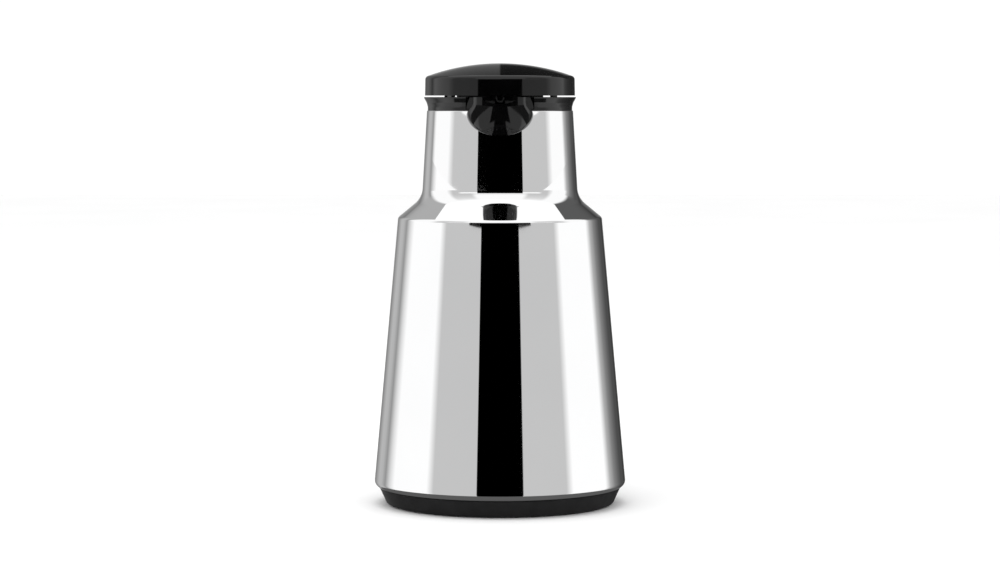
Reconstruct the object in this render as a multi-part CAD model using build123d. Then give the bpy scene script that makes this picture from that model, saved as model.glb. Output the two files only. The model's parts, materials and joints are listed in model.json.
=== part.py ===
from build123d import *
import math
import os

os.makedirs("parts", exist_ok=True)

# ---------------------------------------------------------------- dimensions
# Millimetres. Origin: centre of the foot ring on the table. +Z up. The
# pouring beak points to -Y and the handle to +Y.

# --- outer body, spun steel
WALL = 0.8
NECK_TOP_Z, NECK_TOP_R = 259.7, 48.10        # top edge, under the collar
NECK_FOOT_Z, NECK_FOOT_R = 202.44, 51.40     # where neck and shoulder meet
NECK_FILLET = 14.0
EDGE_Z, EDGE_R = 189.4, 67.19                # where shoulder and cone meet
EDGE_FILLET = 3.0
HEM_Z, HEM_R, HEM_FILLET = 11.3, 83.41, 4.3  # rolled lower edge
HEM_IN_R = 77.0
RIM_IN_R = 46.2

# --- base
BASE_TOP_R, BASE_BOT_R = 80.0, 75.3
BASE_BOT_Z = 0.8
FOOT_R0, FOOT_R1, FOOT_H = 64.0, 72.6, 3.4
SCREW_R = 58.5                               # pitch radius of the base screws

# --- glass flask
FLASK_NECK_R, FLASK_TOP_Z = 40.0, 247.0      # outside of the inner glass
GLASS = 1.6

# --- collar
COL_Z0, COL_Z1 = 259.7, 268.5
COL_BORE_R, COL_SLEEVE_R = 46.6, 43.3
LEDGE_Z = 263.0
SLOT_X, SLOT_Z = 22.1, 260.6                 # opening that takes the beak

# --- pump head
DECK_T = 3.2
DECK_R = 46.2
BORE_R = 28.8
CUP_R = 30.3
CUP_Z0, CUP_FLOOR_Z = 225.0, 228.0
PLUG_R = 38.0
RISER_Y, RISER_R, RISER_BORE = -33.2, 2.6, 1.9
NOZZLE_Z, NOZZLE_END_Y, NOZZLE_R = 267.7, -46.5, 2.95
VALVE_X = 12.0
BEAK_TIP_Y, BEAK_TIP_Z = -70.0, 262.1
BEAK_LOW_Z = 243.7
BEAK_BACK_R = 49.35                          # clear of the neck
BEAK_TOP_Z = 268.5
BEAK_TOP_X, BEAK_MAX_X = 17.2, 21.4

# --- lid
LID_R0, LID_R1 = 49.2, 49.4                  # wall radius at top and bottom
LID_Z0, LID_EDGE_Z = 269.5, 280.0
DOME_TOP_Z, DOME_R = 290.7, 141.2
LID_WALL = 2.2
SKIRT_R0, SKIRT_R1 = 26.5, 28.5
SKIRT_Z0, DISC_Z0, DISC_Z1, DISC_R = 231.0, 276.0, 278.0, 30.0
STROKE = 20.0                                # travel of the press lid
LOCK_TURN = 25.0                             # degrees, open to locked
HOOK_AZ = (335.0, 95.0, 215.0)
LEG_AZ = (187.0, 307.0, 67.0)

# --- handle and latch
GRIP_W, GRIP_T = 24.0, 13.0
HAND_TOP_Z, HAND_LOW_Z = 247.5, 153.0
HAND_Y0, HAND_TOP_Y, HAND_LOW_Y, HAND_LOW_Y0 = 62.0, 99.0, 107.0, 78.0
PIVOT_Y, PIVOT_Z, PIN_R = 53.5, 250.0, 1.5


# ------------------------------------------------------------------- helpers
def outline(pts):
    """Closed face from (x, y[, fillet]) corners."""
    n = len(pts)
    res = []
    for i, p in enumerate(pts):
        P = Vector(p[0], p[1])
        R = p[2] if len(p) > 2 else 0
        if R <= 0:
            res.append((P, P, None))
            continue
        A = Vector(*pts[i - 1][:2])
        B = Vector(*pts[(i + 1) % n][:2])
        u = (A - P).normalized()
        v = (B - P).normalized()
        ang = math.acos(max(-1, min(1, u.dot(v))))
        t = R / math.tan(ang / 2)
        bis = (u + v).normalized()
        c = P + bis * (R / math.sin(ang / 2))
        res.append((P + u * t, P + v * t, c - bis * R))
    edges = []
    for i, (a, b, m) in enumerate(res):
        if m is not None:
            edges.append(ThreePointArc(a, m, b))
        nxt = res[(i + 1) % n][0]
        if (nxt - b).length > 1e-6:
            edges.append(Line(b, nxt))
    return make_face(edges)


def mitre(pts, d):
    """Open polyline moved sideways by d (left of its direction is +)."""
    segs = []
    for a, b in zip(pts[:-1], pts[1:]):
        dx, dy = b[0] - a[0], b[1] - a[1]
        L = math.hypot(dx, dy)
        nx, ny = -dy / L * d, dx / L * d
        segs.append(((a[0] + nx, a[1] + ny), (b[0] + nx, b[1] + ny)))
    out = [segs[0][0]]
    for (p, q), (r, s) in zip(segs[:-1], segs[1:]):
        x1, y1, x2, y2 = *p, *q
        x3, y3, x4, y4 = *r, *s
        den = (x1 - x2) * (y3 - y4) - (y1 - y2) * (x3 - x4)
        px = ((x1 * y2 - y1 * x2) * (x3 - x4) - (x1 - x2) * (x3 * y4 - y3 * x4)) / den
        py = ((x1 * y2 - y1 * x2) * (y3 - y4) - (y1 - y2) * (x3 * y4 - y3 * x4)) / den
        out.append((px, py))
    out.append(segs[-1][1])
    return out


def spin(pts, arc=360.0, start=0.0):
    """Solid of revolution about Z from (r, z[, fillet]) corners."""
    return Rot(0, 0, start) * revolve(Plane.XZ * outline(pts), Axis.Z, arc)


def ring(r0, r1, z0, z1, arc=360.0, start=0.0):
    return spin([(r0, z0), (r1, z0), (r1, z1), (r0, z1)], arc, start)


def sector(r0, r1, z0, z1, a0, a1):
    """Part of a ring between azimuths a0 and a1 (degrees, anticlockwise)."""
    return ring(r0, r1, z0, z1, a1 - a0, a0)


def cyl(r, z0, z1, x=0.0, y=0.0):
    return Pos(x, y, (z0 + z1) / 2) * Cylinder(r, z1 - z0)


def block(x0, x1, y0, y1, z0, z1):
    return Pos((x0 + x1) / 2, (y0 + y1) / 2, (z0 + z1) / 2) * Box(x1 - x0, y1 - y0, z1 - z0)


def tube_along(path_pts, radii, r_out, r_in):
    path = FilletPolyline(*path_pts, radius=radii)
    pl = Plane(origin=path @ 0, z_dir=path % 0)
    o = sweep(pl * Circle(r_out), path=path)
    if r_in:
        o = o - sweep(pl * Circle(r_in), path=path)
    return o


parts = {}


def one(shape):
    """A Part with the solids of shape, cleaned."""
    s = shape.solids()
    return s[0] if len(s) == 1 else Compound(children=list(s))


# ------------------------------------------------------------- outer body
outer = [(RIM_IN_R, NECK_TOP_Z), (NECK_TOP_R, NECK_TOP_Z), (NECK_FOOT_R, NECK_FOOT_Z),
         (EDGE_R, EDGE_Z), (HEM_R, HEM_Z), (HEM_IN_R, HEM_Z)]
inner = mitre(outer, -WALL)
fil_o = [0, 0.5, NECK_FILLET, EDGE_FILLET, HEM_FILLET, 0]
fil_i = [0, 0, NECK_FILLET + WALL, EDGE_FILLET - WALL, HEM_FILLET - WALL, 0]
prof = [(p[0], p[1], f) for p, f in zip(outer, fil_o)]
prof += [(p[0], p[1], f) for p, f in reversed(list(zip(inner, fil_i)))]
parts["body_shell"] = spin(prof)


def shell_r(z):
    """Outer radius of the body at height z, on its straight stretches."""
    if z > NECK_FOOT_Z:
        t = (NECK_TOP_Z - z) / (NECK_TOP_Z - NECK_FOOT_Z)
        return NECK_TOP_R + t * (NECK_FOOT_R - NECK_TOP_R)
    t = (EDGE_Z - z) / (EDGE_Z - HEM_Z)
    return EDGE_R + t * (HEM_R - EDGE_R)


# stiffening ring inside the lower edge, tapped for the base screws
r_in = shell_r(17.5) - WALL
base_ring = spin([(SCREW_R - 5.5, 16.6), (r_in - 0.15, 16.6), (r_in - 0.30, 20.5),
                  (r_in - 1.5, 20.5), (r_in - 1.5, 18.1), (SCREW_R - 5.5, 18.1)])
for a in (30, 150, 270):
    x, y = SCREW_R * math.cos(math.radians(a)), SCREW_R * math.sin(math.radians(a))
    base_ring -= cyl(1.75, 15, 20, x, y)
parts["base_ring"] = base_ring

# ------------------------------------------------------------- base
base = spin([(0, 2.2), (FOOT_R0 - 0.2, 2.2), (FOOT_R0 - 0.2, FOOT_H), (FOOT_R1 + 0.1, FOOT_H),
             (FOOT_R1 + 0.1, BASE_BOT_Z), (BASE_BOT_R, BASE_BOT_Z, 1.4),
             (BASE_TOP_R, HEM_Z), (HEM_IN_R - 0.2, HEM_Z), (HEM_IN_R - 0.2, 16.0),
             (HEM_IN_R - 2.6, 16.0), (HEM_IN_R - 3.4, 6.2, 1.5), (0, 6.2)])
base = base - ring(24.2, SCREW_R - 6.0, 4.4, 7.0)              # thin web between hub and wall
base = base - ring(SCREW_R + 6.0, HEM_IN_R - 6.5, 5.4, 7.0)
base += ring(21.0, 23.6, 6.0, 13.5)                            # cup for the cushion
for a in (30, 150, 270):
    x, y = SCREW_R * math.cos(math.radians(a)), SCREW_R * math.sin(math.radians(a))
    base += cyl(4.6, 5.0, 16.6, x, y)
    base -= cyl(2.1, 0.0, 20.0, x, y)
    base -= cyl(3.9, 0.0, 5.2, x, y)
parts["base_cover"] = base

screws = []
for a in (30, 150, 270):
    x, y = SCREW_R * math.cos(math.radians(a)), SCREW_R * math.sin(math.radians(a))
    s = cyl(3.5, 2.7, 5.2, x, y) + cyl(1.7, 5.2, 19.5, x, y)
    s -= block(x - 2.6, x + 2.6, y - 0.5, y + 0.5, 2.0, 4.0)
    s -= block(x - 0.5, x + 0.5, y - 2.6, y + 2.6, 2.0, 4.0)
    screws.append(s)
parts["base_screws"] = Compound(children=[one(s) for s in screws])

parts["foot_ring"] = spin([(FOOT_R0, 0, 0.5), (FOOT_R1, 0, 0.5), (FOOT_R1, FOOT_H), (FOOT_R0, FOOT_H)])

# ------------------------------------------------------------- glass flask
go = [(FLASK_NECK_R, FLASK_TOP_Z), (FLASK_NECK_R, 203.0), (60.0, 182.0), (62.0, 28.0), (0, 28.0)]
gi = mitre(go, -GLASS)
gi[-1] = (0, gi[-1][1])
fo, fi = [0, 8, 18, 30, 0], [0, 8 + GLASS, 18 - GLASS, 30 - GLASS, 0]
parts["flask_inner"] = spin([(*p, f) for p, f in zip(go, fo)]
                            + [(*p, f) for p, f in reversed(list(zip(gi, fi)))])
flask_space = spin([(*p, f) for p, f in zip(gi, fi)] + [(0, FLASK_TOP_Z)])
print("flask holds %.2f l to the rim" % (flask_space.volume / 1e6))

ho = [(43.0, FLASK_TOP_Z), (43.0, 205.0), (64.4, 183.5), (66.0, 22.0), (0, 22.0)]
hi = mitre(ho, -GLASS)
hi[-1] = (0, hi[-1][1])
go2, gi2 = [0, 8, 20, 32, 0], [0, 8 + GLASS, 20 - GLASS, 32 - GLASS, 0]
flask_outer = spin([(*p, f) for p, f in zip(ho, go2)]
                   + [(*p, f) for p, f in reversed(list(zip(hi, gi2)))])
flask_outer += ring(FLASK_NECK_R, 42.0, FLASK_TOP_Z - GLASS, FLASK_TOP_Z)
parts["flask_outer"] = flask_outer

parts["flask_cushion"] = spin([(0, 6.2), (20.8, 6.2), (20.8, 14.0), (24.5, 14.0), (24.5, 22.0),
                               (0, 22.0)]) - ring(6.0, 14.0, 6.0, 17.0)
parts["flask_gasket"] = spin([(39.0, FLASK_TOP_Z, 0.7), (43.0, FLASK_TOP_Z), (43.0, 250.0),
                              (39.0, 250.0, 0.7)])

# ------------------------------------------------------------- collar
col_out = [(47.55, COL_Z0), (47.55, 262.2, 3.0), (48.3, 264.8, 3.0), (49.88, 267.7), (50.0, 268.0),
           (50.0, COL_Z1 - 0.15), (49.85, COL_Z1)]
collar = spin([(39.5, 250.0), (46.0, 250.0), (46.0, COL_Z0)] + col_out
              + [(COL_BORE_R, COL_Z1), (COL_BORE_R, LEDGE_Z), (COL_SLEEVE_R, LEDGE_Z),
                 (COL_SLEEVE_R, 252.6), (39.5, 252.6)])
# sleeve that grips the flask mouth from outside
collar += ring(COL_SLEEVE_R + 0.1, 46.0, 240.0, 250.0)
# opening for the beak at the front
collar -= block(-SLOT_X, SLOT_X, -60, -35, SLOT_Z, 280) - cyl(COL_SLEEVE_R + 1.2, SLOT_Z, LEDGE_Z)
# rear lug: tongue for the handle and cheeks for the latch
lug = Pos(0, 62.0, HAND_TOP_Z) * Rot(90, 0, 0) * extrude(RectangleRounded(GRIP_W, GRIP_T, 5.5), 18.0)
cheeks = extrude(Plane.YZ * outline([(44, 246.0), (58, 246.0), (58, 256.0, 4.0), (52.6, 263.4, 2.0), (44, 263.4)]),
                 10.5, both=True)
lug += cheeks
lug -= cyl(NECK_FOOT_R - 1.9, 200, COL_Z0 + 0.001)
lug -= cyl(47.5, COL_Z0, 270)
lug -= block(-6.3, 6.3, 49.9, 58.2, 244.5, 270)
lug -= block(-6.3, 6.3, 49.9, 70, 252.5, 270)
lug += block(-7.0, 7.0, 60, 74.0, 244.0, 251.0)
collar += lug
collar -= block(-6.3, 6.3, 42, 52, 264.0, 270)
collar -= Pos(0, PIVOT_Y, PIVOT_Z) * Rot(0, 90, 0) * Cylinder(PIN_R, 30)
for y in (66.0, 71.0):
    collar -= cyl(1.6, 243.0, 250.4, 0, y)
parts["collar"] = collar

# ------------------------------------------------------------- latch
lever = block(-5.8, 5.8, 50.6, 54.4, 254.0, 266.8)
lever += block(-5.8, 5.8, 44.3, 50.7, 264.5, 266.8)
lever += Pos(0, PIVOT_Y, PIVOT_Z) * Rot(0, 90, 0) * Cylinder(3.1, 11.6)
lever += block(-5.8, 5.8, 51.0, 54.4, 250.0, 254.5)
lever -= block(-2.2, 2.2, 49.0, 58.0, 246.0, 254.0)
pad = block(-8.0, 8.0, 54.0, 71.0, 262.4, 265.4)
pad = fillet(pad.edges().filter_by(Axis.Z).group_by(Axis.Y)[-1], 5.0)
pad = fillet(pad.edges().group_by(Axis.Z)[-1], 1.0)
lever += pad
for y in (60.0, 63.0, 66.0):
    lever -= block(-5.5, 5.5, y - 0.5, y + 0.5, 264.9, 266.0)
lever -= Pos(0, PIVOT_Y, PIVOT_Z) * Rot(0, 90, 0) * Cylinder(PIN_R + 0.06, 30)
parts["latch_lever"] = lever
parts["latch_pin"] = Pos(0, PIVOT_Y, PIVOT_Z) * Rot(0, 90, 0) * Cylinder(PIN_R, 20.6)

coil = Helix(pitch=0.95, height=3.3, radius=2.35)
wire = sweep(Plane(origin=coil @ 0, z_dir=coil % 0) * Circle(0.38), path=coil)
wire = Pos(-1.65, PIVOT_Y, PIVOT_Z) * Rot(0, 90, 0) * wire
parts["latch_spring"] = wire

# ------------------------------------------------------------- handle
grip_path = FilletPolyline((0, HAND_Y0, HAND_TOP_Z), (0, HAND_TOP_Y, HAND_TOP_Z),
                           (0, HAND_LOW_Y, HAND_LOW_Z), (0, HAND_LOW_Y0, HAND_LOW_Z),
                           radius=[22.0, 14.0])
sec = Plane(origin=grip_path @ 0, x_dir=(1, 0, 0), z_dir=grip_path % 0) * RectangleRounded(
    GRIP_W, GRIP_T, 5.5)
grip = sweep(sec, path=grip_path)
grip -= block(-7.1, 7.1, 61.0, 74.1, 243.9, 251.1)
grip -= block(-6.1, 6.1, 77.0, 90.1, 149.4, 156.6)
for y, z0 in ((66.0, 240.0), (71.0, 240.0), (84.0, 145.0)):
    grip -= cyl(1.75, z0, z0 + 6, 0, y)
    grip -= cyl(3.1, z0, z0 + 2.7, 0, y)
ins_mid = Vector(0, (HAND_TOP_Y + HAND_LOW_Y) / 2, (HAND_TOP_Z + HAND_LOW_Z) / 2)
ins_dir = Vector(0, HAND_LOW_Y - HAND_TOP_Y, HAND_LOW_Z - HAND_TOP_Z).normalized()
ins_pl = Plane(origin=ins_mid, x_dir=(1, 0, 0), z_dir=ins_dir)
# outward side of the grip in the insert's own plane
side = -1 if ins_pl.y_dir.Y < 0 else 1
recess = ins_pl * Pos(0, side * (GRIP_T / 2 - 0.6), 0) * Box(13.0, 1.2, 52.0)
recess = fillet(recess.edges().filter_by(lambda e: abs((e % 0.5).Y) > 0.9), 6.0)
grip -= recess
parts["handle_grip"] = grip
parts["handle_insert"] = recess

cone_low = shell_r(HAND_LOW_Z)
bracket = Pos(0, 78.0, HAND_LOW_Z) * Rot(90, 0, 0) * extrude(RectangleRounded(GRIP_W, GRIP_T, 5.5), 18.0)
bracket += Pos(0, 73.4, HAND_LOW_Z) * Rot(90, 0, 0) * extrude(RectangleRounded(32.0, 24.0, 9.0), 13.4)
bracket += block(-6.0, 6.0, 77.0, 90.0, 149.5, 156.5)
cut = spin([(0, 130.0), (shell_r(130.0), 130.0), (shell_r(175.0), 175.0), (0, 175.0)])
bracket -= cut
bracket -= cyl(1.6, 148.0, 155.6, 0, 84.0)
parts["lower_bracket"] = bracket

hs = []
for y, z0, L in ((66.0, 240.0, 10.2), (71.0, 240.0, 10.2), (84.0, 145.0, 10.2)):
    s = cyl(2.9, z0 + 1.1, z0 + 2.7, 0, y) + cyl(1.55, z0 + 2.7, z0 + L, 0, y)
    s -= block(-2.1, 2.1, y - 0.4, y + 0.4, z0, z0 + 1.8)
    hs.append(one(s))
parts["handle_screws"] = Compound(children=hs)

# ------------------------------------------------------------- pump head
seat_z = LEDGE_Z + DECK_T
deck = ring(BORE_R, DECK_R, LEDGE_Z, seat_z)
for a in HOOK_AZ:
    deck -= sector(33.9, 40.6, 262, 268, a - 4.3, a + 4.3)
    deck -= sector(36.7, 40.6, 262, 268, a, a + LOCK_TURN + 4.3)
for a in LEG_AZ:
    deck -= sector(34.0, 37.0, 262, 268, a - 3.6, a + 3.6)
deck -= block(-3.3, 3.3, -47, -30.2, 262, 268)
deck -= block(-SLOT_X + 0.2, SLOT_X - 0.2, -60, -30, 262, 268) - cyl(44.3, 262, 268)
deck -= block(-6.4, 6.4, 43.3, 48, 264.2, 268)
deck_az = (22.0, 142.0, 255.0)
for a in deck_az:
    x, y = 33.4 * math.cos(math.radians(a)), 33.4 * math.sin(math.radians(a))
    deck -= cyl(1.5, 262, 268, x, y)
    deck -= cyl(2.6, 264.8, 268, x, y)
parts["deck_plate"] = deck

cup = spin([(0, CUP_Z0), (PLUG_R, CUP_Z0), (PLUG_R, 227.0), (36.9, 227.0), (36.9, 231.0),
            (PLUG_R, 231.0), (PLUG_R, 233.0), (CUP_R, 233.0, 1.0), (CUP_R, 260.0),
            (36.0, 260.0), (36.0, LEDGE_Z), (BORE_R, LEDGE_Z), (BORE_R, CUP_FLOOR_Z), (0, CUP_FLOOR_Z)])
cup -= block(-3.2, 3.2, -40, -30.45, 259, 264)
for a in LEG_AZ:
    cup -= sector(33.9, 38.0, 259, 264, a - 4.4, a + 4.4)
for a in HOOK_AZ:
    cup -= sector(33.4, 38.0, 259, 264, a - 5.0, a + LOCK_TURN + 5.0)
cup -= cyl(RISER_R + 0.1, 220, 240, 0, RISER_Y)
cup -= cyl(2.0, 220, 230)                                   # passage to the manifold
for k in range(4):
    cup -= cyl(0.9, 220, 230, VALVE_X + 2.7 * math.cos(k * math.pi / 2), 2.7 * math.sin(k * math.pi / 2))
cup -= cyl(1.1, 220, 230, VALVE_X, 0)
for a in deck_az:
    x, y = 33.4 * math.cos(math.radians(a)), 33.4 * math.sin(math.radians(a))
    cup -= cyl(1.2, 259.5, 264, x, y)
# blind plug over the centre: the manifold feeds from below only
cup += cyl(3.4, 226.0, CUP_FLOOR_Z)
parts["pump_housing"] = cup

ds = []
for a in deck_az:
    x, y = 33.4 * math.cos(math.radians(a)), 33.4 * math.sin(math.radians(a))
    s = cyl(2.4, 264.8, 266.0, x, y) + cyl(1.2, 259.6, 264.8, x, y)
    s -= block(x - 1.7, x + 1.7, y - 0.3, y + 0.3, 265.4, 267)
    ds.append(one(s))
parts["deck_screws"] = Compound(children=ds)

parts["stopper_seal"] = spin([(36.9, 227.0), (37.7, 227.0), (38.3, 227.8), (37.7, 229.0),
                              (38.3, 230.2), (37.7, 231.0), (36.9, 231.0)])

manifold = cyl(7.0, 212.0, CUP_Z0) + block(-4.6, 4.6, -37.4, 0, 216.0, CUP_Z0)
manifold = fillet(manifold.edges().filter_by(Axis.Z).group_by(Axis.Y)[0], 3.0)
manifold -= Pos(0, RISER_Y / 2, 220.4) * Rot(90, 0, 0) * Cylinder(2.0, -RISER_Y)
manifold -= cyl(2.0, 200, 220.4)
manifold -= cyl(2.0, 220.4, 230, 0, RISER_Y)
manifold -= cyl(RISER_R, 222.0, 230, 0, RISER_Y)
parts["manifold"] = manifold

riser = cyl(RISER_R, 222.0, 260.0, 0, RISER_Y) - cyl(RISER_BORE, 220, 262, 0, RISER_Y)
riser -= cyl(2.2, 256.0, 262, 0, RISER_Y)
parts["riser_tube"] = riser

bend = NOZZLE_Z - 262.0
noz = tube_along([(0, RISER_Y, 260.0), (0, RISER_Y, NOZZLE_Z), (0, NOZZLE_END_Y + 5.0, NOZZLE_Z)],
                 bend, RISER_R, 1.6)
noz += cyl(2.2, 256.0, 260.5, 0, RISER_Y) - cyl(1.6, 250, 262, 0, RISER_Y)
tip = Pos(0, NOZZLE_END_Y + 2.6, NOZZLE_Z) * Rot(90, 0, 0) * Cylinder(NOZZLE_R, 5.2)
tip = fillet(tip.edges().group_by(Axis.Y)[0], 0.5)
noz += tip
noz -= Pos(0, NOZZLE_END_Y + 2.6, NOZZLE_Z) * Rot(90, 0, 0) * Cylinder(1.9, 5.6)
parts["outlet_nozzle"] = noz

# anti-spill ball in a cage under the manifold, dip tube below it
cage = spin([(2.2, 190.0), (5.0, 190.0), (5.0, 196.0), (8.0, 197.5), (8.0, 214.0), (7.0, 214.0),
             (7.0, 212.0), (5.6, 212.0), (5.6, 202.0), (2.2, 198.5)])
parts["ball_cage"] = cage
BALL_R = 4.2
# the ball rests on the cone of the cage, 0.05 mm clear of it
slope = math.atan2(5.6 - 2.2, 202.0 - 198.5)
ball_z = 198.5 - 2.2 / math.tan(slope) + (BALL_R + 0.05) / math.sin(slope)
parts["valve_ball"] = Pos(0, 0, ball_z) * Sphere(BALL_R)
dip = spin([(3.0, 36.0), (4.2, 36.0), (4.2, 188.0), (6.2, 189.0), (6.2, 195.5), (5.0, 195.5),
            (5.0, 190.0), (3.0, 190.0)])
dip -= block(-8, 8, -1.2, 1.2, 30, 39.0)
parts["dip_tube"] = dip

# flap valve that lets pressed air into the flask
flap = spin([(0, 224.1), (4.6, 224.1), (4.6, 224.6), (4.0, CUP_Z0), (0, CUP_Z0)])
flap += cyl(1.1, 224.5, 229.0) + cyl(1.7, CUP_FLOOR_Z, 229.4)
parts["delivery_valve"] = Pos(VALVE_X, 0, 0) * flap

# ------------------------------------------------------------- beak
def section_points(z):
    """Half width, forward reach, rear line and squareness of the beak at height z."""
    if z >= 263.5:
        w = BEAK_TOP_X
    elif z >= 256.5:
        t = (263.5 - z) / 7.0
        w = BEAK_TOP_X + (BEAK_MAX_X - BEAK_TOP_X) * (3 * t * t - 2 * t * t * t)
    else:
        t = (256.5 - z) / (256.5 - BEAK_LOW_Z + 0.15)
        w = BEAK_MAX_X * math.sqrt(max(0.0, 1 - t * t))
    t = (BEAK_TIP_Z - z) / (BEAK_TIP_Z - BEAK_LOW_Z)
    yf = -70.0 + (70.0 - 49.75) * min(1.0, max(0.0, t))
    if z >= BEAK_TIP_Z:
        yf = BEAK_TIP_Y
    y0 = -math.sqrt((BEAK_BACK_R + 0.35) ** 2 - w * w)
    n = 2.0 + 1.5 * max(0.0, min(1.0, (z - 250.0) / 12.0)) ** 2
    return w, yf, y0, n


def beak_face(z, w, yf, y0, n, back=-38.0):
    """Blunt nose shape: rear edge at y = back, straight sides to y0, then round."""
    pts = []
    m = 24
    for k in range(m + 1):
        a = math.pi * k / m
        c, s = math.cos(a), math.sin(a)
        x = w * math.copysign(abs(c) ** (2 / n), c)
        y = y0 - (abs(yf) - abs(y0)) * abs(s) ** (2 / n)
        pts.append((x, y))
    sp = Spline(*[(x, y, z) for x, y in pts], tangents=[(0, -1, 0), (0, 1, 0)])
    return make_face([sp, Line((-w, y0, z), (-w, back, z)), Line((-w, back, z), (w, back, z)),
                      Line((w, back, z), (w, y0, z))])


zs = [BEAK_LOW_Z + 0.25, 244.6, 245.8, 247.5, 250.0, 253.0, 256.5, 258.5, 260.3, BEAK_TIP_Z]
low = loft([beak_face(z, *section_points(z)) for z in zs])
w, yf, y0, n = section_points(BEAK_TIP_Z)
up = [beak_face(BEAK_TIP_Z, w, yf, y0, n),
      beak_face(264.0, BEAK_TOP_X, BEAK_TIP_Y, -math.sqrt(BEAK_BACK_R ** 2 - BEAK_TOP_X ** 2), n),
      beak_face(BEAK_TOP_Z, BEAK_TOP_X, BEAK_TIP_Y, -math.sqrt(BEAK_BACK_R ** 2 - BEAK_TOP_X ** 2), n)]
high = loft(up, ruled=True)
beak = low + high
beak -= cyl(BEAK_BACK_R, 200, SLOT_Z + 0.3)
beak -= cyl(44.5, 200, 300)
# plate that closes the collar's front opening
plate = block(-SLOT_X + 0.3, SLOT_X - 0.3, -60, -30, SLOT_Z + 0.3, BEAK_TOP_Z - 0.2)
plate = plate & ring(44.5, 47.1, 250, 280)
beak += plate
# open channel, its floor falling gently to the front
ch = beak_face(270.0, BEAK_TOP_X - 2.2, BEAK_TIP_Y + 2.2, -46.5, n)
channel = extrude(ch, amount=7.6, dir=(0, 0, -1))
beak -= channel
beak -= loft([beak_face(263.0, 13.0, -65.0, -52.0, 2.8, -51.4),
              beak_face(257.6, 9.0, -58.5, -52.5, 2.4, -51.9)])
# mouth in the front edge
notch = Pos(0, -60, 264.2 + 25.2) * Rot(90, 0, 0) * Cylinder(25.2, 30)
notch = notch & block(-11.2, 11.2, -80, -50, 260, 275)
beak -= notch
parts["pouring_beak"] = beak

# ------------------------------------------------------------- bellows
folds = 9
bz0, bz1 = CUP_FLOOR_Z, DISC_Z0
pitch = (bz1 - bz0 - 5.0) / folds
z = bz0 + 2.5
bo = [(25.6, bz0), (25.6, bz0 + 1.2)]
for k in range(folds):
    bo += [(20.6, z + pitch * 0.5 - 0.0), (25.6, z + pitch)] if k < folds - 1 else [(20.6, z + pitch * 0.5)]
    z += pitch
bo += [(25.6, bz1 - 1.2), (25.6, bz1)]
bi = [(p[0] - 1.25, p[1]) for p in bo]
bi[0] = (18.5, bz0)
bi[1] = (18.5, bz0 + 1.0)
bi[-1] = (18.5, bz1)
bi[-2] = (18.5, bz1 - 1.0)
parts["bellows"] = spin([(p[0], p[1]) for p in bo] + [(p[0], p[1]) for p in reversed(bi)])

turns = 9
hx = Helix(pitch=(DISC_Z0 - CUP_FLOOR_Z - 3.4) / turns, height=DISC_Z0 - CUP_FLOOR_Z - 3.4, radius=15.0)
spr = sweep(Plane(origin=hx @ 0, z_dir=hx % 0) * Circle(0.85), path=hx)
spr = Pos(0, 0, CUP_FLOOR_Z + 1.7) * spr
parts["pump_spring"] = spr

# ------------------------------------------------------------- lid guide
guide = ring(SKIRT_R0, SKIRT_R1, SKIRT_Z0, DISC_Z0 + 0.5) + ring(0, DISC_R, DISC_Z0, DISC_Z1)
for a in LEG_AZ:
    ca, sa = math.cos(math.radians(a)), math.sin(math.radians(a))
    arm = block(DISC_R - 2, 36.6, -1.8, 1.8, DISC_Z0, DISC_Z1)
    arm += block(34.4, 36.6, -1.8, 1.8, 240.0, DISC_Z1)
    arm += block(36.0, 38.0, -1.8, 1.8, 240.0, LEDGE_Z - STROKE - 0.5)
    guide += Rot(0, 0, a) * arm
for k in range(4):
    guide -= cyl(1.2, 270, 280, 4.2 * math.cos(k * math.pi / 2), 4.2 * math.sin(k * math.pi / 2))
guide -= cyl(1.4, 270, 280)
parts["lid_guide"] = guide
iv = spin([(0, DISC_Z0 - 0.9), (6.6, DISC_Z0 - 0.9), (6.6, DISC_Z0 - 0.4), (5.8, DISC_Z0), (0, DISC_Z0)])
iv += cyl(1.3, DISC_Z0 - 0.2, DISC_Z1 + 1.2) + cyl(2.0, DISC_Z1, DISC_Z1 + 1.6)
parts["intake_valve"] = iv

# ------------------------------------------------------------- press lid
def dome_z(r, top=DOME_TOP_Z, R=DOME_R):
    return top - (R - math.sqrt(R * R - r * r))


def crown(r_end, depth, z_end):
    """Crown curve of the dome, depth under its top face, from the axis to r_end."""
    pts = [(r_end * k / 6, dome_z(r_end * k / 6) - depth) for k in range(6)] + [(r_end, z_end)]
    return Spline(*pts, tangents=[(1, 0), (math.cos(math.asin(r_end / DOME_R)), -r_end / DOME_R)])


RF = 2.6
cx = LID_R0 - RF
ang = math.radians(70.6)
p_arc_end = Vector(cx + RF * math.cos(ang), LID_EDGE_Z + RF * math.sin(ang))
p_mid = Vector(cx + RF * math.cos(ang / 2), LID_EDGE_Z + RF * math.sin(ang / 2))
ri = LID_R0 - LID_WALL
e = [
    crown(p_arc_end.X, 0.0, p_arc_end.Y),
    ThreePointArc(p_arc_end, p_mid, Vector(LID_R0, LID_EDGE_Z)),
    Line((LID_R0, LID_EDGE_Z), (LID_R1, LID_Z0)),
    Line((LID_R1, LID_Z0), (LID_R1 - LID_WALL, LID_Z0)),
    Line((LID_R1 - LID_WALL, LID_Z0), (ri, LID_EDGE_Z - 0.6)),
    crown(ri, LID_WALL, LID_EDGE_Z - 0.6),
    Line((0, DOME_TOP_Z - LID_WALL), (0, DOME_TOP_Z)),
]
lid = revolve(Plane.XZ * make_face(e), Axis.Z, 360)
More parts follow.
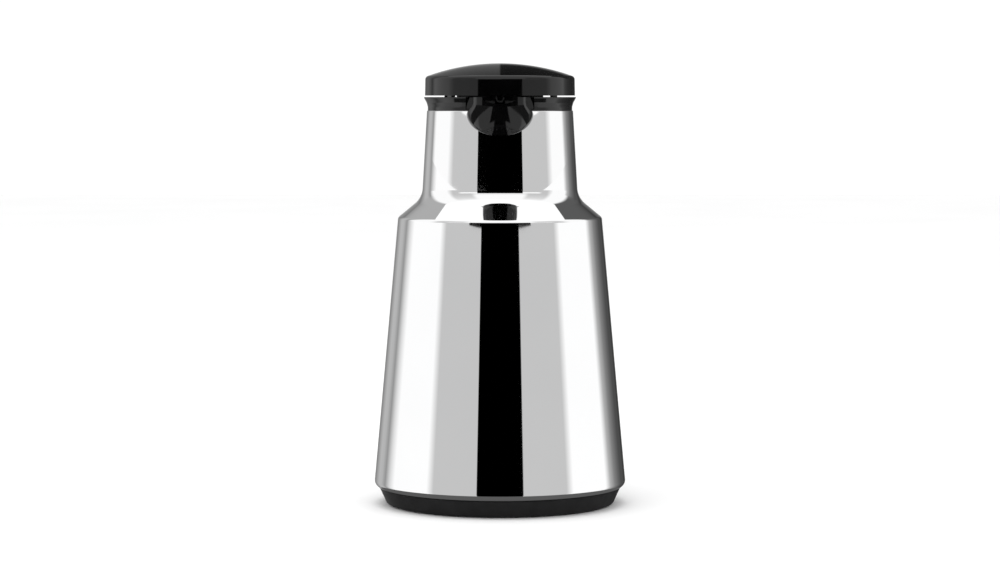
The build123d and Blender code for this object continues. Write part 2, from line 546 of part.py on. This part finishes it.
under = revolve(Plane.XZ * make_face([
    Line((0, 250), (ri + 0.8, 250)), Line((ri + 0.8, 250), (ri + 0.8, LID_EDGE_Z + 0.6)),
    crown(ri + 0.8, 1.0, LID_EDGE_Z + 0.6),
    Line((0, DOME_TOP_Z - 1.0), (0, 250))]), Axis.Z, 360)
inside = ring(21.0, 23.4, DISC_Z1 + 0.2, 292)
for a in (71.5, 191.5, 311.5):
    inside += sector(DISC_R + 0.3, DISC_R + 2.3, 273.4, 292, a, a + 86.0)
    inside += sector(DISC_R - 0.8, DISC_R + 0.5, 273.4, 275.7, a + 8, a + 78.0)
for a in HOOK_AZ:
    hook = block(37.1, 40.2, -2.3, 2.3, 259.5, 292) + block(34.3, 37.2, -2.3, 2.3, 259.5, 262.5)
    inside += Rot(0, 0, a) * hook
for a in (15, 135, 255):
    inside += Rot(0, 0, a) * block(32.0, 47.4, -0.9, 0.9, 276.5, 292)
for piece in (inside & under).solids():
    lid = lid + piece
parts["press_lid"] = lid

# ------------------------------------------------------------------- export
for name, shape in parts.items():
    s = shape.solids()
    obj = s[0] if len(s) == 1 else Compound(children=list(s))
    obj.label = name
    export_step(obj, "parts/%s.step" % name)
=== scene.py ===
import json
import math

import bmesh
import bpy
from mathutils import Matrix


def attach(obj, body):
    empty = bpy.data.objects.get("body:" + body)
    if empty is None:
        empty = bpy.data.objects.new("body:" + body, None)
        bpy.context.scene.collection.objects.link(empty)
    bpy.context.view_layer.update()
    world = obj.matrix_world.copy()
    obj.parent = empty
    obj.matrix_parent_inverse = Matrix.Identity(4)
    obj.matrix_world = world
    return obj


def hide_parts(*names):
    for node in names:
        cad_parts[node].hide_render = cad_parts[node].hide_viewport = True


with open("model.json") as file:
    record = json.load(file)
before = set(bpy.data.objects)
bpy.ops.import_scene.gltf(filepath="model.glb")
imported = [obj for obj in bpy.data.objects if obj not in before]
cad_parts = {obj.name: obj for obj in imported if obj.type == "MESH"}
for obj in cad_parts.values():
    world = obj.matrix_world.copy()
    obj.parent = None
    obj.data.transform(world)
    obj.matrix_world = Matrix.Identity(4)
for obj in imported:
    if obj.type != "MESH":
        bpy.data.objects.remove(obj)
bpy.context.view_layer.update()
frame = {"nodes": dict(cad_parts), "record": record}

scene = bpy.context.scene
scene.view_settings.view_transform = "Standard"


# ------------------------------------------------------------------ materials
class Nodes:
    """Small helper that adds nodes and links to one material."""

    def __init__(self, name):
        self.mat = bpy.data.materials.new(name)
        self.mat.use_nodes = True
        self.t = self.mat.node_tree
        self.bsdf = next(n for n in self.t.nodes if n.type == "BSDF_PRINCIPLED")
        self.co = self.add("ShaderNodeTexCoord").outputs["Object"]

    def add(self, kind, **props):
        n = self.t.nodes.new(kind)
        for k, v in props.items():
            setattr(n, k, v)
        return n

    def link(self, a, b):
        self.t.links.new(a, b)

    def noise(self, scale, detail=3.0, rough=0.5, stretch=None):
        n = self.add("ShaderNodeTexNoise")
        n.inputs["Scale"].default_value = scale
        n.inputs["Detail"].default_value = detail
        n.inputs["Roughness"].default_value = rough
        if stretch:
            m = self.add("ShaderNodeMapping")
            m.inputs["Scale"].default_value = stretch
            self.link(self.co, m.inputs["Vector"])
            self.link(m.outputs["Vector"], n.inputs["Vector"])
        else:
            self.link(self.co, n.inputs["Vector"])
        return n.outputs["Fac"]

    def ramp(self, fac, stops):
        r = self.add("ShaderNodeValToRGB")
        el = r.color_ramp.elements
        while len(el) < len(stops):
            el.new(0.5)
        for e, (p, c) in zip(el, stops):
            e.position = p
            e.color = (*c, 1) if hasattr(c, "__len__") else (c, c, c, 1)
        self.link(fac, r.inputs["Fac"])
        return r.outputs["Color"]

    def bump(self, height, strength, distance, under=None):
        b = self.add("ShaderNodeBump")
        b.inputs["Strength"].default_value = strength
        b.inputs["Distance"].default_value = distance
        self.link(height, b.inputs["Height"])
        if under is not None:
            self.link(under, b.inputs["Normal"])
        return b.outputs["Normal"]

    def set(self, **v):
        for k, x in v.items():
            self.bsdf.inputs[k.replace("_", " ")].default_value = x


def chrome():
    m = Nodes("polished_steel")
    m.set(Metallic=1.0)
    m.link(m.ramp(m.noise(9.0, 4, 0.55), [(0.30, (0.955, 0.958, 0.962)), (0.72, (0.985, 0.986, 0.988))]),
           m.bsdf.inputs["Base Color"])
    # faint wiping marks and smudges
    m.link(m.ramp(m.noise(24.0, 6, 0.62, (1.0, 1.0, 0.35)), [(0.35, 0.006), (0.70, 0.045)]),
           m.bsdf.inputs["Roughness"])
    m.link(m.bump(m.noise(30.0, 2, 0.4), 0.03, 0.00012), m.bsdf.inputs["Normal"])
    return m.mat


def steel():
    m = Nodes("plain_steel")
    m.set(Metallic=1.0)
    m.link(m.ramp(m.noise(180.0, 4, 0.6), [(0.3, (0.50, 0.50, 0.51)), (0.7, (0.66, 0.66, 0.67))]),
           m.bsdf.inputs["Base Color"])
    m.link(m.ramp(m.noise(900.0, 3, 0.6), [(0.3, 0.22), (0.7, 0.38)]), m.bsdf.inputs["Roughness"])
    m.link(m.bump(m.noise(1400.0, 2), 0.25, 0.00003), m.bsdf.inputs["Normal"])
    return m.mat


def gloss_black():
    m = Nodes("gloss_black_plastic")
    m.set(IOR=1.49, Metallic=0.0)
    m.link(m.ramp(m.noise(60.0, 3), [(0.3, (0.0010, 0.0010, 0.0011)), (0.7, (0.0020, 0.0020, 0.0021))]),
           m.bsdf.inputs["Base Color"])
    m.link(m.ramp(m.noise(38.0, 6, 0.65), [(0.35, 0.03), (0.72, 0.10)]), m.bsdf.inputs["Roughness"])
    m.link(m.bump(m.noise(160.0, 3), 0.05, 0.00006), m.bsdf.inputs["Normal"])
    return m.mat


def satin_black():
    m = Nodes("satin_black_plastic")
    m.set(IOR=1.47, Metallic=0.0)
    m.link(m.ramp(m.noise(120.0, 4), [(0.3, (0.010, 0.010, 0.0105)), (0.7, (0.016, 0.016, 0.0165))]),
           m.bsdf.inputs["Base Color"])
    m.link(m.ramp(m.noise(300.0, 4, 0.6), [(0.3, 0.34), (0.7, 0.46)]), m.bsdf.inputs["Roughness"])
    v = m.add("ShaderNodeTexVoronoi")
    v.inputs["Scale"].default_value = 1700.0
    m.link(m.co, v.inputs["Vector"])
    m.link(m.bump(v.outputs["Distance"], 0.22, 0.00006), m.bsdf.inputs["Normal"])
    return m.mat


def white_plastic():
    m = Nodes("natural_plastic")
    m.set(IOR=1.49)
    m.link(m.ramp(m.noise(50.0, 3), [(0.3, (0.74, 0.74, 0.71)), (0.7, (0.82, 0.82, 0.80))]),
           m.bsdf.inputs["Base Color"])
    m.bsdf.inputs["Subsurface Weight"].default_value = 0.12
    m.bsdf.inputs["Subsurface Radius"].default_value = (0.002, 0.002, 0.002)
    m.link(m.ramp(m.noise(400.0, 3), [(0.3, 0.30), (0.7, 0.44)]), m.bsdf.inputs["Roughness"])
    m.link(m.bump(m.noise(900.0, 2), 0.12, 0.00004), m.bsdf.inputs["Normal"])
    return m.mat


def rubber(name, lo, hi, scale=700.0):
    m = Nodes(name)
    m.set(IOR=1.5)
    m.link(m.ramp(m.noise(90.0, 4), [(0.3, (lo, lo, lo)), (0.7, (hi, hi, hi))]), m.bsdf.inputs["Base Color"])
    m.link(m.ramp(m.noise(260.0, 3), [(0.3, 0.52), (0.7, 0.72)]), m.bsdf.inputs["Roughness"])
    m.link(m.bump(m.noise(scale, 3), 0.3, 0.00008), m.bsdf.inputs["Normal"])
    return m.mat


def glass():
    m = Nodes("silvered_glass")
    m.set(Metallic=0.85, IOR=1.5)
    m.bsdf.inputs["Coat Weight"].default_value = 1.0
    m.bsdf.inputs["Coat Roughness"].default_value = 0.02
    m.link(m.ramp(m.noise(26.0, 4), [(0.3, (0.70, 0.72, 0.72)), (0.7, (0.88, 0.89, 0.89))]),
           m.bsdf.inputs["Base Color"])
    m.link(m.ramp(m.noise(60.0, 4), [(0.3, 0.03), (0.7, 0.12)]), m.bsdf.inputs["Roughness"])
    return m.mat


mats = {
    "chrome": chrome(),
    "steel": steel(),
    "gloss_black": gloss_black(),
    "satin_black": satin_black(),
    "white_plastic": white_plastic(),
    "rubber_black": rubber("black_rubber", 0.012, 0.022),
    "rubber_grey": rubber("grey_rubber", 0.27, 0.36),
    "silicone": rubber("pale_silicone", 0.55, 0.68, 500.0),
    "glass": glass(),
}

for s in frame["record"]["subparts"]:
    o = frame["nodes"][s["node"]]
    o.data.materials.clear()
    o.data.materials.append(mats[s["material_slot"]])


# ------------------------------------------------------------------ lathed body
def rounded(pts, step=math.radians(3)):
    """Points of a profile whose corners (r, z, fillet) are rounded."""
    out = []
    n = len(pts)
    for i, p in enumerate(pts):
        f = p[2] if len(p) > 2 else 0
        if f <= 0:
            out.append((p[0], p[1]))
            continue
        a, b = pts[i - 1], pts[(i + 1) % n]
        ux, uy = a[0] - p[0], a[1] - p[1]
        vx, vy = b[0] - p[0], b[1] - p[1]
        lu, lv = math.hypot(ux, uy), math.hypot(vx, vy)
        ux, uy, vx, vy = ux / lu, uy / lu, vx / lv, vy / lv
        ang = math.acos(max(-1, min(1, ux * vx + uy * vy)))
        t = f / math.tan(ang / 2)
        bx, by = ux + vx, uy + vy
        bl = math.hypot(bx, by)
        d = f / math.sin(ang / 2)
        cx, cy = p[0] + bx / bl * d, p[1] + by / bl * d
        a0 = math.atan2(p[1] + uy * t - cy, p[0] + ux * t - cx)
        a1 = math.atan2(p[1] + vy * t - cy, p[0] + vx * t - cx)
        da = (a1 - a0 + math.pi) % (2 * math.pi) - math.pi
        k = max(4, int(abs(da) / step) + 1)
        out += [(cx + f * math.cos(a0 + da * j / k), cy + f * math.sin(a0 + da * j / k)) for j in range(k + 1)]
    return out


def lathe(name, profile, segments=360, sharp=25):
    """Closed solid of revolution from a closed (r, z) profile in millimetres."""
    bm = bmesh.new()
    rings = []
    for r, z in profile:
        rings.append([bm.verts.new((r / 1000 * math.cos(2 * math.pi * k / segments),
                                    r / 1000 * math.sin(2 * math.pi * k / segments), z / 1000))
                      for k in range(segments)])
    n = len(rings)
    for i in range(n):
        a, b = rings[i], rings[(i + 1) % n]
        for k in range(segments):
            m = (k + 1) % segments
            bm.faces.new((a[k], a[m], b[m], b[k]))
    bmesh.ops.recalc_face_normals(bm, faces=bm.faces)
    me = bpy.data.meshes.new(name)
    bm.to_mesh(me)
    bm.free()
    for p in me.polygons:
        p.use_smooth = True
    me.set_sharp_from_angle(angle=math.radians(sharp))
    o = bpy.data.objects.new(name, me)
    scene.collection.objects.link(o)
    return o


outer = [(46.2, 259.7), (48.10, 259.7, 0.5), (51.40, 202.44, 14.0), (67.19, 189.4, 3.0),
         (83.41, 11.3, 4.3), (77.0, 11.3)]
inner = [(77.0, 12.1), (82.535, 12.1, 3.5), (66.40, 189.0, 2.2), (50.628, 202.06, 14.8),
         (47.355, 258.9), (46.2, 258.9)]
body = lathe("steel_body", rounded(outer + inner))
body.data.materials.append(mats["chrome"])
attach(body, "vessel")
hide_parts("body_shell")


# ------------------------------------------------------------------ pouring beak
NECK_R = 49.35       # the beak's back lies this far from the axis, clear of the neck
CREASE, LOW_Z, TOP_Z, TIP_Y = 262.1, 243.7, 268.5, -70.0


def half_width(z):
    if z >= 263.5:
        return 17.2
    if z >= 256.5:
        t = (263.5 - z) / 7.0
        return 17.2 + 4.2 * (3 * t * t - 2 * t * t * t)
    t = (256.5 - z) / (256.5 - LOW_Z + 0.15)
    return 21.4 * math.sqrt(max(0.0, 1 - t * t))


def nose(z, inset=0.0, n=72, back=-40.0):
    """Plan outline of the beak at height z: shallow front arc, round corners, straight sides."""
    t = min(1.0, max(0.0, (CREASE - z) / (CREASE - LOW_Z)))
    w = max(half_width(z), 0.6) - inset
    yf = TIP_Y + (-49.75 - TIP_Y) * t + inset
    xa = 11.3 * math.tanh(w / 17.2 * 1.5) / math.tanh(1.5)
    R = 38.0
    sag = R - math.sqrt(R * R - xa * xa)
    s0 = xa / R
    ya = yf + sag
    y0 = -math.sqrt(NECK_R ** 2 - w * w) + 0.2
    b1 = 7.9 * (w - xa) / 5.9
    b2 = max(y0 - ya, 0.3)
    b = (b1 ** -4 + b2 ** -4) ** -0.25
    p0, p3 = (xa, ya), (w, ya + b)
    k = 0.56
    p1 = (xa + k * (w - xa), ya + k * (w - xa) * math.tan(s0))
    p2 = (w, ya + b - k * b)
    right = []
    m = n // 3
    for i in range(m + 1):                       # front arc, from the middle outward
        x = xa * i / m
        right.append((x, yf + R - math.sqrt(R * R - x * x)))
    for i in range(1, m + 1):                    # corner
        u = i / m
        c = ((1 - u) ** 3, 3 * u * (1 - u) ** 2, 3 * u * u * (1 - u), u ** 3)
        right.append(tuple(sum(c[j] * q[a] for j, q in enumerate((p0, p1, p2, p3))) for a in (0, 1)))
    for i in range(1, 7):                        # side
        right.append((w, ya + b + (back - ya - b) * i / 6))
    return [(-x, y) for x, y in reversed(right[1:])] + right


def loft_solid(name, rows, lift=None):
    """Closed solid through plan outlines of equal point count, at rising heights."""
    bm = bmesh.new()
    rings = []
    for z, pts in rows:
        rings.append([bm.verts.new((x / 1000, y / 1000, (z + (lift(x, z) if lift else 0)) / 1000)) for x, y in pts])
    for a, b in zip(rings[:-1], rings[1:]):
        for k in range(len(a)):
            m = (k + 1) % len(a)
            bm.faces.new((a[k], a[m], b[m], b[k]))
    bm.faces.new(list(reversed(rings[0])))
    bm.faces.new(rings[-1])
    bmesh.ops.recalc_face_normals(bm, faces=bm.faces)
    me = bpy.data.meshes.new(name)
    bm.to_mesh(me)
    bm.free()
    o = bpy.data.objects.new(name, me)
    scene.collection.objects.link(o)
    return o


def turned(name, r, z0, z1, seg=288, axis="Z", at=(0, 0)):
    """Round cutter about Z, or about Y through (x, z)."""
    pts = [(r * math.cos(2 * math.pi * k / seg), r * math.sin(2 * math.pi * k / seg)) for k in range(seg)]
    bm = bmesh.new()
    lo_, hi_ = [], []
    for x, y in pts:
        if axis == "Z":
            lo_.append(bm.verts.new((x / 1000, y / 1000, z0 / 1000)))
            hi_.append(bm.verts.new((x / 1000, y / 1000, z1 / 1000)))
        else:
            lo_.append(bm.verts.new(((at[0] + x) / 1000, z0 / 1000, (at[1] + y) / 1000)))
            hi_.append(bm.verts.new(((at[0] + x) / 1000, z1 / 1000, (at[1] + y) / 1000)))
    for k in range(seg):
        m = (k + 1) % seg
        bm.faces.new((lo_[k], lo_[m], hi_[m], hi_[k]))
    bm.faces.new(lo_)
    bm.faces.new(hi_)
    bmesh.ops.recalc_face_normals(bm, faces=bm.faces)
    me = bpy.data.meshes.new(name)
    bm.to_mesh(me)
    bm.free()
    o = bpy.data.objects.new(name, me)
    scene.collection.objects.link(o)
    return o


def combine(target, tool, how):
    """Boolean of target with tool, applied; the tool is removed."""
    m = target.modifiers.new("cut", "BOOLEAN")
    m.operation = how
    m.solver = "EXACT"
    m.object = tool
    bpy.context.view_layer.update()
    me = bpy.data.meshes.new_from_object(target.evaluated_get(bpy.context.evaluated_depsgraph_get()))
    target.modifiers.clear()
    target.data = me
    bpy.data.objects.remove(tool)


def rise(x, z):
    """The crease climbs a little towards the corners."""
    g = (z - LOW_Z) / (CREASE - LOW_Z) if z <= CREASE else max(0.0, 1 - (z - CREASE) / 5.0)
    u = min(1.0, abs(x) / 15.0)
    return 1.4 * g * u * u * (3 - 2 * u)


heights = [LOW_Z + 0.3 + (CREASE - LOW_Z - 0.3) * k / 60 for k in range(61)]
rows = [(z, nose(z)) for z in heights] + [(z, nose(263.6)) for z in (263.9, 265.6, 267.2, TOP_Z)]
beak = loft_solid("beak_shape", rows, rise)
combine(beak, turned("neck_cut", NECK_R, 200, 260.9), "DIFFERENCE")
combine(beak, turned("deck_cut", 44.5, 190, 300), "DIFFERENCE")
chan = [(z, nose(264.0, inset=2.2, back=-43.0)) for z in (262.4, 266.0, 272.0)]
combine(beak, loft_solid("channel_cut", chan), "DIFFERENCE")
arc = turned("mouth_cut", 25.2, -80, -56, axis="Y", at=(0, 264.2 + 25.2))
side_l = loft_solid("mouth_side", [(260, [(-11.2, -82), (11.2, -82), (11.2, -54), (-11.2, -54)]),
                                   (275, [(-11.2, -82), (11.2, -82), (11.2, -54), (-11.2, -54)])])
combine(arc, side_l, "INTERSECT")
combine(beak, arc, "DIFFERENCE")
for p in beak.data.polygons:
    p.use_smooth = True
beak.data.set_sharp_from_angle(angle=math.radians(24))
beak.name = "beak_surface"
beak.data.materials.clear()
beak.data.materials.append(mats["gloss_black"])
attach(beak, "pump_head")


def plate_profile():
    """Curved plate that closes the collar's front opening, each side of the beak."""
    pts = []
    a1 = math.asin(21.7 / 47.0)
    for k in range(49):
        a = -a1 + 2 * a1 * k / 48
        pts.append((47.0 * math.sin(a), -47.0 * math.cos(a)))
    for k in range(49):
        a = a1 - 2 * a1 * k / 48
        pts.append((44.5 * math.sin(a), -44.5 * math.cos(a)))
    return pts


plate = loft_solid("beak_plate", [(260.95, plate_profile()), (268.3, plate_profile())])
combine(plate, loft_solid("plate_cut", [(z, nose(264.0, inset=2.2, back=-40.0)) for z in (262.4, 272.0)]),
        "DIFFERENCE")
for p in plate.data.polygons:
    p.use_smooth = True
plate.data.set_sharp_from_angle(angle=math.radians(24))
plate.data.materials.clear()
plate.data.materials.append(mats["gloss_black"])
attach(plate, "pump_head")
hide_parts("pouring_beak")
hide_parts("pouring_beak")


# ------------------------------------------------------------------ stage
def plane_mesh(name, half, z):
    me = bpy.data.meshes.new(name)
    me.from_pydata([(-half, -half, z), (half, -half, z), (half, half, z), (-half, half, z)], [], [(0, 1, 2, 3)])
    o = bpy.data.objects.new(name, me)
    scene.collection.objects.link(o)
    return o


floor = plane_mesh("floor", 6.0, 0.0)
fm = Nodes("pale_floor")
fm.link(fm.ramp(fm.noise(3.0, 2), [(0.3, (0.93, 0.93, 0.93)), (0.7, (0.95, 0.95, 0.95))]),
        fm.bsdf.inputs["Base Color"])
fm.set(Roughness=0.75)
fm.bsdf.inputs["Specular IOR Level"].default_value = 0.2
floor.data.materials.append(fm.mat)
floor.visible_glossy = False

world = bpy.data.worlds.new("studio")
scene.world = world
world.use_nodes = True
world.node_tree.nodes["Background"].inputs["Color"].default_value = (1, 1, 1, 1)
world.node_tree.nodes["Background"].inputs["Strength"].default_value = 1.05

# Ring of studio panels round the object, seen only as reflections: (azimuth from
# the front, brightness), to the right positive. A lower and an upper tier.
LOW = [(-180, .50), (-170, .52), (-162, .30), (-154, .24), (-146, .36), (-138, .48), (-130, .46), (-122, .30),
       (-113, .72), (-105, 1.02), (-65, 1.02), (-58, .56), (-19.6, .56), (-19.2, .0), (19.2, .0), (19.6, .56),
       (58, .56), (65, 1.02), (105, 1.02), (113, .45), (122, .22), (130, .13), (138, .075), (146, .07),
       (154, .035), (162, .16), (170, .42), (180, .50)]
UP = [(-180, .55), (-170, .52), (-162, .30), (-154, .20), (-146, .34), (-138, .47), (-130, .46), (-122, .29),
      (-116, .80), (-112, 1.0), (-82, 1.0), (-71.5, .56), (-32.5, .56), (-32.1, .0), (32.1, .0), (32.5, .56),
      (71.5, .56), (82, 1.0), (108, 1.0), (114, .45), (122, .22), (130, .14), (138, .08), (146, .08),
      (154, .04), (162, .16), (170, .42), (180, .50)]


def level(table, az):
    for (a, u), (b, v) in zip(table[:-1], table[1:]):
        if a <= az <= b:
            return u + (v - u) * (az - a) / (b - a)
    return table[-1][1]


def smooth(a, b, x):
    t = max(0.0, min(1.0, (x - a) / (b - a)))
    return t * t * (3 - 2 * t)


def top_level(az, front, grey):
    """Above the upper tier: front is the level straight ahead, grey that of the front side panels."""
    a = abs(az)
    v = front + (grey - front) * smooth(34, 44, a)
    v += (1.0 - v) * smooth(71, 82, a)
    rear = 0.24 if az < 0 else 0.03
    mid = 0.42 if az < 0 else 0.10
    v += (mid - v) * smooth(110, 122, a)
    v += (rear - v) * smooth(140, 172, a)
    return v


def screen(name, rows, R=0.5, cols=1440):
    """Cylinder of emissive panels. rows: (z, function of azimuth)."""
    verts, cols_v, faces = [], [], []
    for z, fn in rows:
        for k in range(cols):
            az = -180 + 360 * (k + 0.5) / cols
            verts.append((R * math.sin(math.radians(az)), -R * math.cos(math.radians(az)), z))
            v = fn(az)
            cols_v += [v, v, v, 1.0]
    for i in range(len(rows) - 1):
        for k in range(cols):
            m = (k + 1) % cols
            faces.append((i * cols + k, i * cols + m, (i + 1) * cols + m, (i + 1) * cols + k))
    me = bpy.data.meshes.new(name)
    me.from_pydata(verts, [], faces)
    at = me.color_attributes.new("level", "FLOAT_COLOR", "POINT")
    at.data.foreach_set("color", cols_v)
    o = bpy.data.objects.new(name, me)
    scene.collection.objects.link(o)
    mat = bpy.data.materials.new(name)
    mat.use_nodes = True
    t = mat.node_tree
    t.nodes.clear()
    a = t.nodes.new("ShaderNodeAttribute")
    a.attribute_name = "level"
    e = t.nodes.new("ShaderNodeEmission")
    out = t.nodes.new("ShaderNodeOutputMaterial")
    t.links.new(a.outputs["Color"], e.inputs["Color"])
    t.links.new(e.outputs["Emission"], out.inputs["Surface"])
    me.materials.append(mat)
    o.visible_camera = False
    o.visible_diffuse = False
    o.visible_shadow = False
    o.visible_transmission = False
    return o


def low(az):
    return level(LOW, az)


def up(az):
    return level(UP, az)


def up_grey(az):
    return max(up(az), 0.62) if abs(az) < 75 else up(az)


screen("panels_low", [(-0.15, low), (0.2472, low)])
screen("panels_join", [(0.2472, lambda a: low(a) if abs(a) < 40 else up(a)),
                       (0.2535, lambda a: low(a) if abs(a) < 40 else up(a))])
def up_wide(az):
    """Upper tier where the ceiling already shows either side of a narrower dark strip."""
    a = abs(az)
    if a > 64:
        return up(az)
    return 1.05 * smooth(32.1, 32.8, a) * (1 - smooth(56, 64, a)) + 0.56 * smooth(56, 64, a)


screen("panels_up", [(0.2535, up), (0.311, up)])
screen("panels_mid", [(0.311, up_wide), (0.352, up_wide)])
screen("panels_top", [(0.352, lambda a: top_level(a, 0.80, 0.56) if abs(a) < 75 else up(a)),
                      (0.37, lambda a: top_level(a, 0.80, 0.56) if abs(a) < 120 else 0.5 * (up(a) + top_level(a, 1, 1))),
                      (0.44, lambda a: top_level(a, 1.0, 0.60)),
                      (0.60, lambda a: top_level(a, 1.0, 0.72)),
                      (0.78, lambda a: top_level(a, 1.0, 1.0))])
under = plane_mesh("panel_under", 0.6, -0.15)
um = bpy.data.materials.new("panel_under")
um.use_nodes = True
um.node_tree.nodes.clear()
ue = um.node_tree.nodes.new("ShaderNodeEmission")
ue.inputs["Color"].default_value = (0.10, 0.10, 0.10, 1)
uo = um.node_tree.nodes.new("ShaderNodeOutputMaterial")
um.node_tree.links.new(ue.outputs["Emission"], uo.inputs["Surface"])
under.data.materials.append(um)
under.visible_camera = under.visible_diffuse = under.visible_shadow = under.visible_transmission = False

light = bpy.data.lights.new("softbox", "AREA")
light.shape = "DISK"
light.size = 2.4
light.energy = 24
lo = bpy.data.objects.new("softbox", light)
lo.location = (-0.3, -0.4, 2.6)
lo.rotation_euler = (math.radians(-8), math.radians(-6), 0)
lo.visible_glossy = False
scene.collection.objects.link(lo)

# ------------------------------------------------------------------ camera
cam = bpy.data.cameras.new("camera")
cam.sensor_width = 36.0
cam.lens = 105.95
co = bpy.data.objects.new("camera", cam)
co.location = (0.0, -1.941, 0.2705)
co.rotation_euler = (math.radians(90 - 3.635), 0, 0)
scene.collection.objects.link(co)
scene.camera = co
